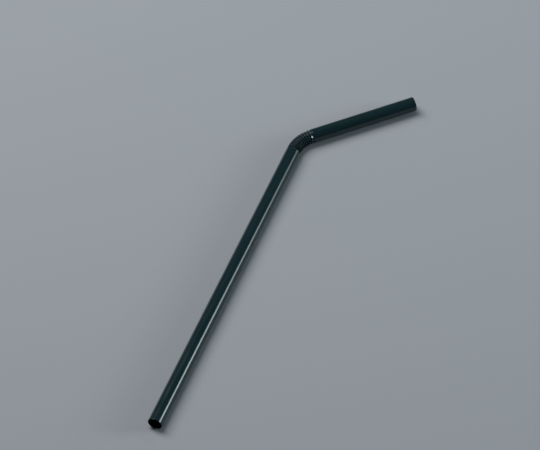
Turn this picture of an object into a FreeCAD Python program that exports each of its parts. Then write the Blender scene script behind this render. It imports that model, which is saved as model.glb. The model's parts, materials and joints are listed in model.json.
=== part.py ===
import FreeCAD, Part
import math
import os

# A flexible drinking straw, bent at its neck and lying on a table.
#
# The real one is a single piece: a thin tube is extruded and cut to length, and a neck is rolled into
# it near one end. Each fold of the neck is a tall cone that narrows to a root and a short cone that
# widens again to the next crest. On the outside of the bend every short cone stands open. On the
# inside it has snapped back under its crest, so that the folds nest there. Each crest is tilted
# against the one before it, and the tilts add up to the bend.
#
# Sizes are in millimetres and angles in degrees. The long leg lies along +Y and the short leg turns
# towards +X. The straw rests on Z = 0, with the middle of the ground it covers at the origin.

# Tube
tube_radius = 3.0
wall = 0.15
long_leg = 149.6
short_leg = 46.2

# Neck
fold_count = 10
tall_cone = 0.94
short_cone = 0.24
fold_depth = 0.65
neck_bend = 46.0

# Width of the rolled edge along each root and each crest
fold_edge = 0.12

# The fold that has snapped furthest, counted from the long leg, and how much it leads the others
deepest_fold = 5
fold_lead = 0.5

# How far the inner skin of a fold stands from the outer one, along the tube and across it
fold_wall_along = 0.25
fold_wall_across = 0.27

# How far the core that hollows the tube runs out of each mouth
core_overrun = 1.0


def direction(heading):
    """Unit vector along the tube where it has turned by heading from +Y towards +X."""
    turn = math.radians(heading)
    return FreeCAD.Vector(math.sin(turn), math.cos(turn), 0)


def ring(centre, heading, radius):
    """A circle square to the tube. All start at their top, so that neighbouring rings line up."""
    origin = FreeCAD.Vector(0, 0, 0)
    wire = Part.Wire(Part.makeCircle(radius, origin, FreeCAD.Vector(0, 1, 0)))
    wire.rotate(origin, FreeCAD.Vector(0, 0, 1), -heading)
    wire.translate(centre)
    return wire


def fold_tilts():
    """How far each fold turns the tube. The turns add up to the bend of the neck."""
    leads = [
        1 + fold_lead * math.cos(math.pi * (fold - deepest_fold) / fold_count)
        for fold in range(1, fold_count + 1)
    ]
    return [neck_bend * lead / sum(leads) for lead in leads]


def neck_rings(start):
    """Centre, heading and radius of each ring of the neck, from the long leg to the short one."""
    centre = start
    heading = 0.0
    rings = [(centre, heading, tube_radius)]
    for tilt in fold_tilts():
        for step in (tall_cone, fold_edge):
            centre = centre + direction(heading) * step
            rings.append((centre, heading, tube_radius - fold_depth))
        # The crest tilts about its outermost point, where the short cone stays open
        opened = short_cone - tube_radius * math.sin(math.radians(tilt))
        heading = heading + tilt
        for step in (opened, fold_edge):
            centre = centre + direction(heading) * step
            rings.append((centre, heading, tube_radius))
    return rings


def inner_neck_rings(outer_rings):
    """The rings of the neck's inner skin, which meet the bore of a leg at both ends."""
    bore = tube_radius - wall
    rings = [(centre, heading, radius - fold_wall_across) for centre, heading, radius in outer_rings]
    rings = [(centre + direction(heading) * fold_wall_along, heading, r) for centre, heading, r in rings]
    first, last = outer_rings[0], rings[-1]
    return [(first[0], first[1], bore)] + rings[1:-2] + [(last[0], last[1], bore)]


def make_straw():
    """The rod that the outside of the tube fills, less a core with the shape of its hollow."""
    lower_mouth = FreeCAD.Vector(0, 0, tube_radius)
    outer = neck_rings(lower_mouth + direction(0) * long_leg)
    inner = inner_neck_rings(outer)
    neck_end, bend, _ = outer[-1]
    upper_mouth = neck_end + direction(bend) * short_leg

    bore = tube_radius - wall
    outer = [(lower_mouth, 0, tube_radius)] + outer + [(upper_mouth, bend, tube_radius)]
    core_start = lower_mouth - direction(0) * core_overrun
    core_end = upper_mouth + direction(bend) * core_overrun
    inner = [(core_start, 0, bore)] + inner + [(core_end, bend, bore)]

    rod = Part.makeLoft([ring(*place) for place in outer], True, True)
    core = Part.makeLoft([ring(*place) for place in inner], True, True)
    return rod.cut(core)


def set_down(straw):
    """Moves the straw so that the middle of its footprint is at the origin."""
    box = straw.optimalBoundingBox(False, False)
    straw.translate(FreeCAD.Vector(-box.Center.x, -box.Center.y, -box.ZMin))
    return straw


straw = set_down(make_straw())
os.makedirs("parts", exist_ok=True)
straw.exportStep("parts/drinking_straw.step")
print("valid", straw.isValid(), "closed", straw.isClosed(), "faces", len(straw.Faces))
print("volume", round(straw.Volume, 2), "mm3, tilts", [round(tilt, 2) for tilt in fold_tilts()])
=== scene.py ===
# %% [markdown]
# # A flexible drinking straw
#
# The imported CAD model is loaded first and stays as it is. It fixes where the straw lies and how large
# it is. Everything below is in metres and in that model's own frame: the long leg runs along +Y, the
# short leg turns towards +X, and the straw rests on the table at Z = 0.

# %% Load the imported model
import json
import math
from collections import namedtuple

import bmesh
import bpy
from mathutils import Matrix, Vector


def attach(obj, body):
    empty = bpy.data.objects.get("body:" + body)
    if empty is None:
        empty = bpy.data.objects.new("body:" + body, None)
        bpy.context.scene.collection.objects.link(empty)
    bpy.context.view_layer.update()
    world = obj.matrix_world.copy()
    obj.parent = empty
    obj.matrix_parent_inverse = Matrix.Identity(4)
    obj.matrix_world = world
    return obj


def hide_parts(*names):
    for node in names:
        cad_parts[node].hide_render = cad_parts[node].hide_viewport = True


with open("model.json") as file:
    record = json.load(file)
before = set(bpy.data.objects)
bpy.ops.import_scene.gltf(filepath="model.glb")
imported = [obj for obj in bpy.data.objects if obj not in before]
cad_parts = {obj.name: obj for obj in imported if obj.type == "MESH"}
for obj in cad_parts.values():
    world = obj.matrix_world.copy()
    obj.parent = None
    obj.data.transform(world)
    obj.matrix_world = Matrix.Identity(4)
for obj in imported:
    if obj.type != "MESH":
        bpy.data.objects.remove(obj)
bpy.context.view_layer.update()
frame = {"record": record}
MM = 0.001

# %% [markdown]
# ## Sizes
#
# The record that came with the model names the places where the straw meets other things: its two
# open mouths and the leg that goes through the hole of a lid. They give the tube's width, its bore,
# both ends and the bend, so none of these is typed in again.

# %% Read the tube's sizes from the record
mounts = {mount["name"]: mount for mount in frame["record"]["mounts"]}
lower_mouth = Vector(mounts["lower_mouth"]["pos_m"])
upper_mouth = Vector(mounts["upper_mouth"]["pos_m"])
upper_axis = Vector(mounts["upper_mouth"]["axis"])
long_leg = mounts["lid_hole_leg"]["dims"]["length_mm"] * MM
tube_radius = mounts["lid_hole_leg"]["dims"]["r_mm"] * MM
bore_radius = mounts["lower_mouth"]["dims"]["r_mm"] * MM
neck_bend = math.atan2(upper_axis.x, upper_axis.y)
print("tube", round(2 * tube_radius / MM, 2), "mm across, bore", round(2 * bore_radius / MM, 2), "mm,",
      "bend", round(math.degrees(neck_bend), 2), "degrees")

# %% [markdown]
# Only the folds of the neck have sizes of their own here. Each fold is a tall cone that narrows to a
# root and a short cone that widens to the next crest. The last fold before the short leg is shallower
# than the others, because the groove of the rolling tool runs out there. Its wide open cone is what
# catches the brightest glint.

# %% Sizes of the folds
fold_count = 10
tall_cone = 0.94 * MM
short_cone = 0.24 * MM
fold_edge = 0.12 * MM
fold_depth = 0.65 * MM
last_fold_depth = 0.35 * MM
fold_depths = [fold_depth] * (fold_count - 1) + [last_fold_depth]
print(fold_count, "folds take", round(fold_count * (tall_cone + short_cone + 2 * fold_edge) / MM, 1),
      "mm of the straight tube")

# %% [markdown]
# ## The line of the tube
#
# A flexible straw is one tube. It is extruded straight, cut, and then rolled between grooved tools
# near one end, which leaves the row of folds. When the neck is bent, every short cone stays open on
# the outside of the bend and snaps back under its crest on the inside, so each crest tilts about its
# outermost point.
#
# The neck could be bent with a Simple Deform or Curve modifier, but these stretch the outside and
# squeeze the inside evenly, as rubber would. Plastic folds can't do that. So the straw is written
# down as a list of rings instead: where the middle of each ring is, which way the tube heads there,
# how wide it is, and how far the ring was from the mouth while the straw was still straight.

# %% Step from the lower mouth to the neck
Ring = namedtuple("Ring", "centre heading radius run")


def step_on(ring, step, radius, turn=0.0):
    """The ring that follows another one, after a step along the tube's new heading. The run never
    shrinks, also where a fold has snapped back past the one before it."""
    heading = ring.heading + turn
    forward = Vector((math.sin(heading), math.cos(heading), 0))
    return Ring(ring.centre + forward * step, heading, radius, ring.run + max(step, 0))


lower_end = Ring(lower_mouth, 0.0, tube_radius, 0.0)
neck_start = step_on(lower_end, long_leg, tube_radius)
print("the neck starts", round(neck_start.run / MM, 2), "mm from the lower mouth")

# %% [markdown]
# The folds share the bend, and the one that has snapped furthest takes the most of it. Roots and
# crests are round. Each is one ring here, drawn too deep or too high by a tip that a bevel takes off
# again later.

# %% Rings of the neck
deepest_fold = 5
fold_lead = 0.5
crest_tip = 0.095 * MM
root_tip = 0.07 * MM


def fold_tilts():
    """How far each fold turns the tube: most at the deepest fold, least next to the short leg."""
    leads = [1 + fold_lead * math.cos(math.pi * (fold - deepest_fold) / fold_count)
             for fold in range(1, fold_count + 1)]
    return [neck_bend * lead / sum(leads) for lead in leads]


neck = [neck_start]
cone_start = step_on(neck_start, -fold_edge / 2, tube_radius)
for depth, tilt in zip(fold_depths, fold_tilts()):
    root_radius = tube_radius - depth - root_tip
    root = step_on(cone_start, tall_cone + fold_edge, root_radius)
    root_end = step_on(root, fold_edge / 2, root_radius)
    opened = short_cone - tube_radius * math.sin(tilt)
    crest_start = step_on(root_end, opened, tube_radius, tilt)
    cone_start = step_on(crest_start, fold_edge / 2, tube_radius + crest_tip)
    neck += [root, cone_start]
neck[-1] = crest_start
print(len(neck), "rings, tilts from", round(math.degrees(min(fold_tilts())), 2), "to",
      round(math.degrees(max(fold_tilts())), 2), "degrees")

# %% [markdown]
# A leg is straight, so two rings would do. It gets a holding ring near each end as well, which keeps
# the shading of its long faces from following the rounded ends. One in the middle halves those faces.

# %% Rings of the whole outer skin
mouth_hold = 0.07 * MM
neck_hold = 0.3 * MM


def leg_rings(first, length, first_hold, last_hold):
    """The rings of a straight leg, without the one at its far end."""
    steps = [0, first_hold, length / 2, length - last_hold]
    return [step_on(first, step, first.radius) for step in steps]


short_leg = (upper_mouth - neck[-1].centre).length
outer_rings = leg_rings(lower_end, long_leg, mouth_hold, neck_hold)
outer_rings += neck
outer_rings += leg_rings(neck[-1], short_leg, neck_hold, mouth_hold)[1:]
outer_rings.append(step_on(neck[-1], short_leg, tube_radius))
miss = (outer_rings[-1].centre - upper_mouth).length
print(len(outer_rings), "rings, short leg", round(short_leg / MM, 2), "mm, off the mouth by",
      round(miss / MM, 4), "mm")

# %% [markdown]
# The wall is only 0.15 mm thick. The Solidify modifier would give the tube that wall, but between two
# nested folds the inner skin would run into itself. So the inner skin gets rings of its own, which
# follow the outer ones a little further along the tube and a little closer to its middle. They are
# listed from the upper mouth back to the lower one, the way the skin will be pulled through them.

# %% Rings of the inner skin
skin_along = 0.25 * MM
skin_across = 0.27 * MM


def inner_ring(ring, radius):
    """The inner skin's ring for one of the neck's outer rings."""
    return step_on(ring, skin_along, radius)._replace(run=ring.run)


def bored(ring):
    """The ring of the bore at the place of an outer ring."""
    return ring._replace(radius=bore_radius)


inner_neck = [bored(neck_start)]
for root, crest, depth in zip(neck[1::2], neck[2::2], fold_depths):
    inner_neck.append(inner_ring(root, tube_radius - depth - skin_across))
    inner_neck.append(inner_ring(crest, tube_radius - skin_across))
inner_neck[-1] = inner_ring(neck[-1], bore_radius)

inner_rings = leg_rings(bored(lower_end), long_leg, mouth_hold, neck_hold)
inner_rings += inner_neck
inner_rings += leg_rings(bored(neck[-1]), short_leg, neck_hold, mouth_hold)[2:]
inner_rings.append(bored(outer_rings[-1]))
inner_rings.reverse()
print(len(inner_rings), "inner rings")

# %% [markdown]
# ## Pull the skin through the rings
#
# The mesh starts as one circle at the lower mouth. Each new ring of points inherits from the one
# before it where its points were round the tube. Together with the distance along the tube, that
# makes the attribute `straightened`: the place of every point before the neck was bent. The material
# uses it later, so that its lines run along the tube through every fold. A second attribute marks
# the crests. It stands for how much rolling has stretched the plastic there, and it also places a
# painted highlight on them. It starts as 0 everywhere.

# %% A circle at the lower mouth
tube_sides = 128


def place(ring):
    """The matrix that puts a circle of radius 1 at a ring."""
    return (Matrix.Translation(ring.centre) @ Matrix.Rotation(-ring.heading, 4, "Z")
            @ Matrix.Scale(ring.radius, 4))


straw_mesh = bmesh.new()
straightened = straw_mesh.verts.layers.float_vector.new("straightened")
# Crest mask: rolling stretch, and also where a painted highlight goes.
stretch_and_glint = straw_mesh.verts.layers.float.new("stretch_and_glint")
circle = bmesh.ops.create_circle(straw_mesh, cap_ends=False, segments=tube_sides, radius=1)["verts"]
upright = Matrix.Rotation(math.pi / 2, 3, "X")
bmesh.ops.rotate(straw_mesh, verts=circle, cent=(0, 0, 0), matrix=upright)
for point in circle:
    point[straightened] = point.co * tube_radius
bmesh.ops.transform(straw_mesh, matrix=place(lower_end), verts=circle)
print("a circle of", len(circle), "points")

# %% [markdown]
# The circle's edge is extruded and carried to the next ring, again and again: along the outside to
# the upper mouth, in over the cut edge, and back through the bore. The last ring is bridged to the
# first, which closes the wall.

# %% Carry the edge from ring to ring
def pull(mesh, edge, rings):
    """Extrudes an open edge from ring to ring and returns the edges at each ring."""
    edges_at = [edge]
    for start, end in zip(rings, rings[1:]):
        grown = bmesh.ops.extrude_edge_only(mesh, edges=edges_at[-1])["geom"]
        points = {item for item in grown if isinstance(item, bmesh.types.BMVert)}
        bmesh.ops.transform(mesh, matrix=place(end) @ place(start).inverted(), verts=list(points))
        for point in points:
            point[straightened].y = end.run
        edges_at.append([item for item in grown if isinstance(item, bmesh.types.BMEdge)
                         and set(item.verts) <= points])
    return edges_at


outside = pull(straw_mesh, list(straw_mesh.edges), outer_rings)
inside = pull(straw_mesh, outside[-1], [outer_rings[-1]] + inner_rings)
bmesh.ops.bridge_loops(straw_mesh, edges=inside[-1] + outside[0])
print(len(straw_mesh.faces), "faces, closed:", all(edge.is_manifold for edge in straw_mesh.edges))

# %% [markdown]
# Rolling stretches the plastic most at the crests, so the crest mask is set to 1 there. It also
# places a painted highlight on the crests. The bevel comes later and blends the attribute over the
# new points, which saves working it out for each of them.

# %% Mark the crests for whitening and a painted highlight
neck_begins = outer_rings.index(neck_start)
neck_ends = outer_rings.index(neck[-1])
outer_neck = outside[neck_begins:neck_ends + 1]
crests = outer_neck[2:-1:2]
for edge in [edge for ring in crests for edge in ring]:
    for point in edge.verts:
        point[stretch_and_glint] = 1.0
print(len(crests), "crests marked")

# %% [markdown]
# ## Round the folds and the cut edges
#
# The rolling tools leave no sharp corners: each root and crest is a small roll, and the long leg goes
# over into the neck in a soft shoulder. A bevel of whole rings makes all of them. Round crests matter
# more than their size suggests, because a roll mirrors a lamp and a sharp fold can't. The knife leaves
# the mouths nearly sharp, so their edges get a smaller bevel, just enough to catch a thread of light.

# %% Bevel the rings
shoulder_rounding = 0.12 * MM
crest_rounding = 0.26 * MM
root_rounding = 0.18 * MM
inner_rounding = 0.06 * MM
cut_rounding = 0.03 * MM


def round_rings(mesh, rings, width, steps):
    """Bevels whole rings of edges and returns how many edges that were."""
    edges = [edge for ring in rings for edge in ring]
    bmesh.ops.bevel(mesh, geom=edges, offset=width, offset_type="OFFSET", affect="EDGES",
                    segments=steps, profile=0.5, material=-1, clamp_overlap=True)
    return len(edges)


# The rings of `inside` start one earlier than inner_rings, with the outer edge of the upper mouth
inner_begins = 1 + inner_rings.index(inner_neck[-1])
inner_ends = 1 + inner_rings.index(inner_neck[0])
mouth_rings = [outside[0], outside[-1], inside[1], inside[-1]]
rounded = round_rings(straw_mesh, outer_neck[:1], shoulder_rounding, steps=4)
rounded += round_rings(straw_mesh, outer_neck[2::2], crest_rounding, steps=5)
rounded += round_rings(straw_mesh, outer_neck[1::2], root_rounding, steps=4)
rounded += round_rings(straw_mesh, inside[inner_begins:inner_ends + 1], inner_rounding, steps=2)
rounded += round_rings(straw_mesh, mouth_rings, cut_rounding, steps=2)
bmesh.ops.recalc_face_normals(straw_mesh, faces=straw_mesh.faces)
print(rounded, "edges rounded,", len(straw_mesh.faces), "faces, plastic volume",
      round(straw_mesh.calc_volume(signed=True) / MM ** 3, 1), "mm3")

# %% [markdown]
# ## From mesh to object
#
# The mesh already lies where the straw lies on the table, so its object stays at the origin, unturned
# and unscaled. Smooth shading suits a tube. It is kept from smearing over edges that turn sharply in
# a single step, most of which are in the tight folds of the hidden inner skin.

# %% Make the straw an object
sharp_angle = math.radians(48)

straw_data = bpy.data.meshes.new("straw_tube")
straw_mesh.to_mesh(straw_data)
straw_mesh.free()
straw_data.shade_smooth()
straw_data.set_sharp_from_angle(angle=sharp_angle)
straw_tube = bpy.data.objects.new("straw_tube", straw_data)
bpy.context.scene.collection.objects.link(straw_tube)
print("straw_tube:", len(straw_data.polygons), "faces")

# %% [markdown]
# ## The plastic
#
# The straw is black polypropylene with a green tint, as glossy as the extruder leaves it. Three things
# keep it from looking like paint. The die draws fine lines along the whole tube, the pigment is not
# mixed perfectly, and handling dulls the gloss in soft patches. An image could show all three, but it
# would have to be wrapped round every fold. Noise needs no wrapping: it is stretched along the tube by
# reading the `straightened` attribute instead of the bent shape.

# %% Glossy plastic and its streaks
plastic_ior = 1.49

plastic = bpy.data.materials.new("black_polypropylene")
plastic.use_nodes = True
nodes = plastic.node_tree.nodes
links = plastic.node_tree.links
shader = nodes["Principled BSDF"]
shader.inputs["IOR"].default_value = plastic_ior
shader.inputs["Metallic"].default_value = 0.0
straw_data.materials.append(plastic)

surface = nodes.new("ShaderNodeAttribute")
surface.attribute_name = "straightened"


def streaks(across, along, detail):
    """Noise with features of the given size in metres across and along the tube."""
    stretch = nodes.new("ShaderNodeMapping")
    stretch.inputs["Scale"].default_value = (1 / across, 1 / along, 1 / across)
    links.new(surface.outputs["Vector"], stretch.inputs["Vector"])
    noise = nodes.new("ShaderNodeTexNoise")
    noise.inputs["Scale"].default_value = 1.0
    noise.inputs["Detail"].default_value = detail
    links.new(stretch.outputs["Vector"], noise.inputs["Vector"])
    return noise.outputs["Fac"]


print(plastic.name, "reads", surface.attribute_name)

# %% [markdown]
# The pigment varies between two near blacks. A noise hardly ever comes near 0 or 1, so a map range
# first spreads its middle over the range that is wanted.

# %% Pigment
noise_low = 0.3
noise_high = 0.7
deep_pigment = (0.005, 0.0208, 0.0258, 1)
thin_pigment = (0.0083, 0.0262, 0.0318, 1)


def spread(value, low, high):
    """Maps the middle of a noise to the range from low to high."""
    mapped = nodes.new("ShaderNodeMapRange")
    mapped.inputs["From Min"].default_value = noise_low
    mapped.inputs["From Max"].default_value = noise_high
    mapped.inputs["To Min"].default_value = low
    mapped.inputs["To Max"].default_value = high
    links.new(value, mapped.inputs["Value"])
    return mapped.outputs["Result"]


pigment = nodes.new("ShaderNodeMix")
pigment.data_type = "RGBA"
pigment.inputs["A"].default_value = deep_pigment
pigment.inputs["B"].default_value = thin_pigment
pigment_streaks = streaks(across=1.1 * MM, along=16 * MM, detail=3)
links.new(spread(pigment_streaks, low=0, high=1), pigment.inputs["Factor"])
print("pigment from", deep_pigment[:3], "to", thin_pigment[:3])

# %% [markdown]
# A fourth thing is seen only at the neck. Polypropylene turns whitish where it is stretched, and
# rolling stretches the crests most. The pale crest colour is partly that whitening and partly a
# painted highlight, which stands in for the glints that the rolled crests catch. The crest mask is
# 1 there and fades to 0 down the cones, so it could be used as the mix factor itself. A map range
# keeps only its upper end, which makes the pale line as narrow as the crest, and a noise breaks it up.

# %% Whitened crests with a painted highlight
crest_share = 0.75
# Pale crest colour: stress whitening plus a painted highlight.
whitening_and_glint_colour = (0.085, 0.115, 0.12, 1)

stretch_and_glint_reader = nodes.new("ShaderNodeAttribute")
stretch_and_glint_reader.attribute_name = "stretch_and_glint"
whitening_and_glint = nodes.new("ShaderNodeMapRange")
whitening_and_glint.inputs["From Min"].default_value = crest_share
links.new(stretch_and_glint_reader.outputs["Fac"], whitening_and_glint.inputs["Value"])
crest_streaks = streaks(across=0.7 * MM, along=2 * MM, detail=3)
links.new(spread(crest_streaks, low=0.5, high=1), whitening_and_glint.inputs["To Max"])

colour = nodes.new("ShaderNodeMix")
colour.data_type = "RGBA"
colour.inputs["B"].default_value = whitening_and_glint_colour
links.new(whitening_and_glint.outputs["Result"], colour.inputs["Factor"])
links.new(pigment.outputs["Result"], colour.inputs["A"])
links.new(colour.outputs["Result"], shader.inputs["Base Color"])
print("crests whiten from", crest_share, "of the stretch on")

# %% [markdown]
# The gloss patches drive the roughness. The die lines are only microns deep, far too fine to model,
# so they are a bump: it tilts the shading and leaves the shape alone.

# %% Gloss and die lines
die_line_depth = 0.004 * MM
die_line_strength = 0.2

gloss_patches = streaks(across=2.4 * MM, along=9 * MM, detail=4)
links.new(spread(gloss_patches, low=0.13, high=0.2), shader.inputs["Roughness"])

die_lines = nodes.new("ShaderNodeBump")
die_lines.inputs["Strength"].default_value = die_line_strength
die_lines.inputs["Distance"].default_value = die_line_depth
links.new(streaks(across=0.12 * MM, along=40 * MM, detail=2), die_lines.inputs["Height"])
links.new(die_lines.outputs["Normal"], shader.inputs["Normal"])
print("black_polypropylene:", len(nodes), "nodes")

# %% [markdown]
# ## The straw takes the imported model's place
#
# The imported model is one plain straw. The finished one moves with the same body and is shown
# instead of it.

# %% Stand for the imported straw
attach(straw_tube, "root")
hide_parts("drinking_straw")
print(straw_tube.name, "stands for drinking_straw")

# %% [markdown]
# ## The table
#
# The straw lies on a plain pale table. A single square is enough for it. It is matt and hardly
# mirrors anything, so the straw keeps the only glints.

# %% Floor
floor_size = 6.0
card_colour = (0.395, 0.415, 0.453, 1)
card_roughness = 0.9
card_gloss = 0.1

floor_mesh = bmesh.new()
bmesh.ops.create_grid(floor_mesh, x_segments=1, y_segments=1, size=floor_size / 2)
floor_data = bpy.data.meshes.new("floor")
floor_mesh.to_mesh(floor_data)
floor_mesh.free()
floor = bpy.data.objects.new("floor", floor_data)
bpy.context.scene.collection.objects.link(floor)

card = bpy.data.materials.new("pale_card")
card.use_nodes = True
card_shader = card.node_tree.nodes["Principled BSDF"]
card_shader.inputs["Base Color"].default_value = card_colour
card_shader.inputs["Roughness"].default_value = card_roughness
card_shader.inputs["Specular IOR Level"].default_value = card_gloss
floor_data.materials.append(card)
print("floor", floor_size, "m wide")

# %% [markdown]
# ## Light
#
# The main light is a large soft lamp, high on the left, so the shadows fall to the right of the long
# leg and in front of the short one. It is 1 m wide at little more than 1 m, which is why the shadows
# fade out so slowly. All other light is a little cooler, as from a window, and tints the shadows.
#
# A straight tube mirrors a lamp as a thin line along its whole length, but only a lamp that lies in
# one of the few directions the tube sends to the camera. Two low lamps on the right lie there and
# draw the line down the long leg. The one that the near half of the leg mirrors is brighter, so the
# line fades towards the neck. Neither lamp is in the directions that the short leg mirrors, so that
# leg stays dark.
#
# The last fold is a cone and sends another direction to the camera. A lamp further off on the right
# lies there and gives the fold its bright dot. Behind the straw, a weak lamp and a dim card give the
# crests of the folds something to mirror. That, together with the painted highlight on the crests,
# is what makes them show one by one.
#
# A lamp that is seen in a mirror is as bright as its radiance, whatever its size. So each lamp is
# given by its radiance, and its power follows from its area.

# %% Lamps
neutral_light = (1, 1, 1)
cool_light = (0.83, 1.0, 1.01)


def soft_lamp(name, near_end, far_end, width, radiance, colour):
    """A flat lamp between two points that faces the straw, with its power found from its radiance."""
    near_end, far_end = Vector(near_end), Vector(far_end)
    data = bpy.data.lights.new(name, "AREA")
    data.shape = "RECTANGLE"
    data.size = width
    data.size_y = (far_end - near_end).length
    data.energy = radiance * math.pi * data.size * data.size_y
    data.color = colour
    lamp = bpy.data.objects.new(name, data)
    lamp.location = (near_end + far_end) / 2
    along = (far_end - near_end).normalized()
    across = along.cross(lamp.location).normalized()
    lamp.rotation_euler = Matrix((across, along, across.cross(along))).transposed().to_euler()
    bpy.context.scene.collection.objects.link(lamp)
    print(name, "is", round(data.size_y, 2), "m long and takes", round(data.energy, 2), "W")


soft_lamp("over_lamp", near_end=(-0.62, 0.0, 1.0), far_end=(-0.62, 0.5, 1.0), width=1.0,
          radiance=7.0, colour=neutral_light)
soft_lamp("back_lamp", near_end=(-0.2, 1.07, 0.7), far_end=(0.35, 1.07, 0.7), width=0.5,
          radiance=1.0, colour=cool_light)
soft_lamp("line_lamp_near", near_end=(0.92, 0.44, 0.32), far_end=(0.92, 0.65, 0.32), width=0.42,
          radiance=9.0, colour=cool_light)
soft_lamp("line_lamp_far", near_end=(0.92, 0.65, 0.32), far_end=(0.92, 0.8, 0.32), width=0.42,
          radiance=4.3, colour=cool_light)
soft_lamp("fold_lamp", near_end=(1.82, 0.6, 0.45), far_end=(1.77, 0.82, 0.45), width=0.32,
          radiance=36.0, colour=cool_light)
soft_lamp("back_card", near_end=(-0.45, 1.6, 0.22), far_end=(1.0, 1.35, 0.22), width=0.4,
          radiance=0.8, colour=cool_light)

# %% [markdown]
# The rest of the room is nearly dark. A stronger world would lie as a grey veil on the black plastic,
# which mirrors it from every side.

# %% World
room_colour = (0.78, 0.98, 1.0, 1)
room_strength = 0.05

world = bpy.data.worlds.new("studio")
world.use_nodes = True
world.node_tree.nodes["Background"].inputs["Color"].default_value = room_colour
world.node_tree.nodes["Background"].inputs["Strength"].default_value = room_strength
bpy.context.scene.world = world
print("world strength", room_strength)

# %% [markdown]
# ## Camera
#
# The camera looks from the photograph's angle, which was fitted to the edges of the tube, its two ends
# and the ends of its neck. How far away it stood can hardly be told from the photograph, so a distance
# of 1.8 m was chosen. With a long lens it shows as little perspective as the photograph does.

# %% Camera
camera_azimuth = math.radians(21.551)
camera_elevation = math.radians(51.364)
camera_distance = 1.8
camera_aim = Vector((-12.915, 12.779, 3.0)) * MM

camera_data = bpy.data.cameras.new("camera")
camera_data.lens = 293.83
camera_data.sensor_width = 36
camera_data.clip_start = 0.01
camera = bpy.data.objects.new("camera", camera_data)
back = Vector((math.sin(camera_azimuth) * math.cos(camera_elevation),
               -math.cos(camera_azimuth) * math.cos(camera_elevation),
               math.sin(camera_elevation)))
camera.location = camera_aim + back * camera_distance
camera.rotation_euler = back.to_track_quat("Z", "Y").to_euler()
bpy.context.scene.collection.objects.link(camera)
bpy.context.scene.camera = camera
bpy.context.scene.view_settings.view_transform = "Standard"
print("camera at", [round(value, 3) for value in camera.location], "m")
